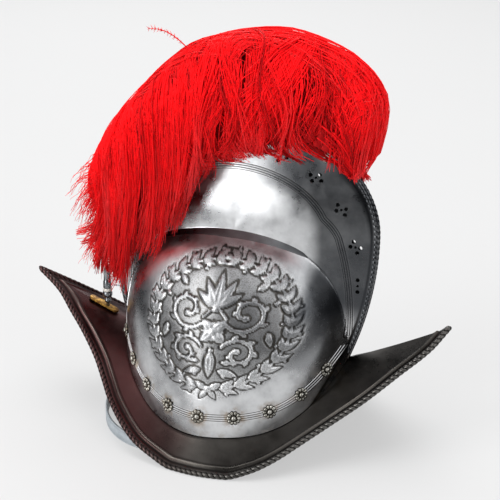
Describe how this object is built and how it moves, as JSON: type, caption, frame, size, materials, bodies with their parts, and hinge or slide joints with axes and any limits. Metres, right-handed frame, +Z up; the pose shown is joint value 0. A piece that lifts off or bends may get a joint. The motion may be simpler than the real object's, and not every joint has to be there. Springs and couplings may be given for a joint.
{
  "type": "morion helmet",
  "caption": "Steel comb morion with a boat shaped roped brim, pierced comb, rosette band, raised wreath ornament, red ostrich plume and chin strap.",
  "frame": {"origin": "middle of the footprint on the floor, below the middle of the line between the two tips of the brim", "axes": "+X to the front, +Y to the wearer's left, +Z up"},
  "size_m": [0.3724, 0.2358, 0.3424],
  "materials": {
    "skull_steel": "polished, lightly brushed, with rust gold stains by the rosettes",
    "brim_steel": "dark polished steel with a lighter roped edge",
    "rosette_steel": "bright chased steel, dark in the recesses",
    "socket_steel": "turned and polished",
    "clip_steel": "bright",
    "plate_brass": "aged, brown in the corners",
    "ring_white": "off white, smooth",
    "plume_red": "dyed ostrich barbs, soft and clumped",
    "strap_grey": "smooth pale grey leather with a darker flesh side"
  },
  "bodies": {
    "root": {"skull_right": "skull_steel", "skull_left": "skull_steel", "brim": "brim_steel", "rosette_01": "rosette_steel", "rosette_02": "rosette_steel", "rosette_03": "rosette_steel", "rosette_04": "rosette_steel", "rosette_05": "rosette_steel", "rosette_06": "rosette_steel", "rosette_07": "rosette_steel", "rosette_08": "rosette_steel", "rosette_09": "rosette_steel", "rosette_10": "rosette_steel", "rosette_11": "rosette_steel", "rosette_12": "rosette_steel", "rosette_13": "rosette_steel", "rosette_14": "rosette_steel", "rosette_15": "rosette_steel", "rosette_16": "rosette_steel", "rosette_17": "rosette_steel", "rosette_18": "rosette_steel", "plume": "plume_red", "plume_socket": "socket_steel", "socket_ring": "ring_white", "socket_plate": "plate_brass", "socket_stay": "socket_steel", "plume_clip": "clip_steel", "chin_strap": "strap_grey", "strap_rivet_right": "rosette_steel", "strap_rivet_left": "rosette_steel"}
  },
  "joints": []
}
